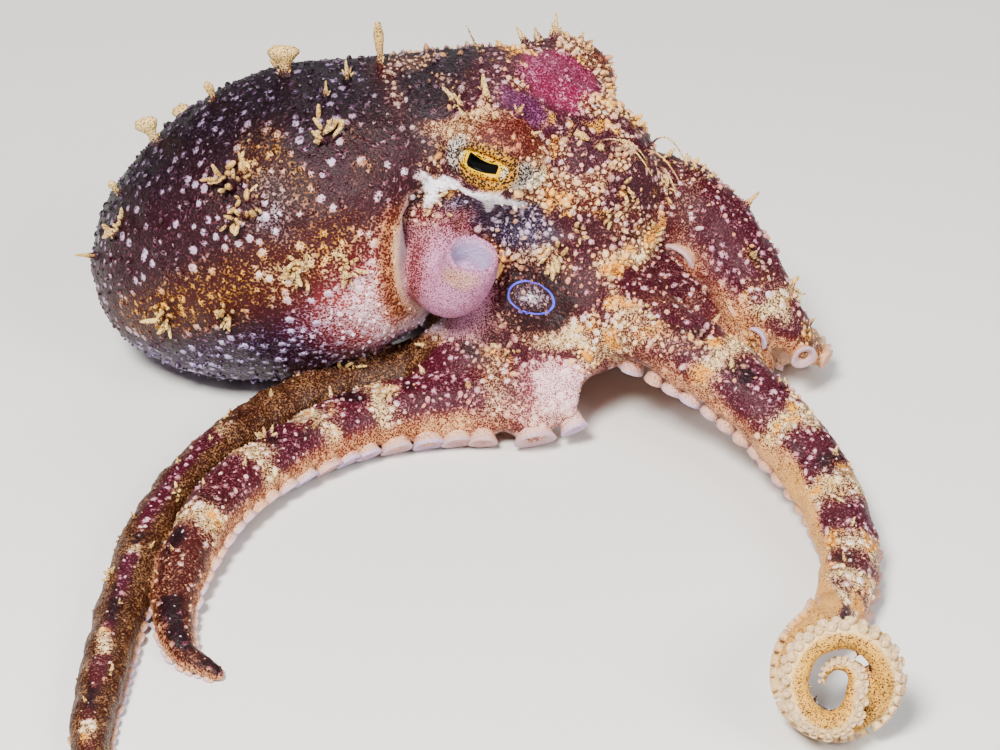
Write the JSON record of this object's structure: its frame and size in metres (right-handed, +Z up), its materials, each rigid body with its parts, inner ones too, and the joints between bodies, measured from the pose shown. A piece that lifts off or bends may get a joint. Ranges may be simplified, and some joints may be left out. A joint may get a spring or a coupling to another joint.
{
  "type": "octopus",
  "caption": "Small ocellate octopus at rest, head raised, arms spread over level ground and one arm tip coiled; a one-piece still model.",
  "frame": {"origin": "middle of the animal's bounding box in X and Y, on the ground it rests on", "axes": "+Z up from the ground, +X the way the head faces, +Y the animal's left"},
  "size_m": [0.1204, 0.148, 0.0428],
  "materials": {
    "mantle_skin": "wet living skin, dark maroon with pale dots",
    "head_skin": "wet living skin, cream and orange over maroon",
    "eye": "wet and glossy",
    "funnel_skin": "wet, smooth, pale lilac",
    "crown_skin": "wet living skin, maroon with pale dots",
    "arm_skin": "wet living skin, banded maroon and cream"
  },
  "bodies": {
    "root": {"mantle": "mantle_skin", "head": "head_skin", "eye_right": "eye", "eye_left": "eye", "funnel": "funnel_skin", "crown": "crown_skin", "arm_l1_base": "arm_skin", "arm_l1_middle": "arm_skin", "arm_l1_tip": "arm_skin", "arm_l2_base": "arm_skin", "arm_l2_middle": "arm_skin", "arm_l2_tip": "arm_skin", "arm_l3_base": "arm_skin", "arm_l3_middle": "arm_skin", "arm_l3_tip": "arm_skin", "arm_l4_base": "arm_skin", "arm_l4_tip": "arm_skin", "arm_r1_base": "arm_skin", "arm_r1_middle": "arm_skin", "arm_r1_tip": "arm_skin", "arm_r2_base": "arm_skin", "arm_r2_coil": "arm_skin", "arm_r2_middle": "arm_skin", "arm_r2_tip": "arm_skin", "arm_r3_base": "arm_skin", "arm_r3_middle": "arm_skin", "arm_r3_tip": "arm_skin", "arm_r4_base": "arm_skin", "arm_r4_middle": "arm_skin", "arm_r4_tip": "arm_skin"}
  },
  "joints": []
}
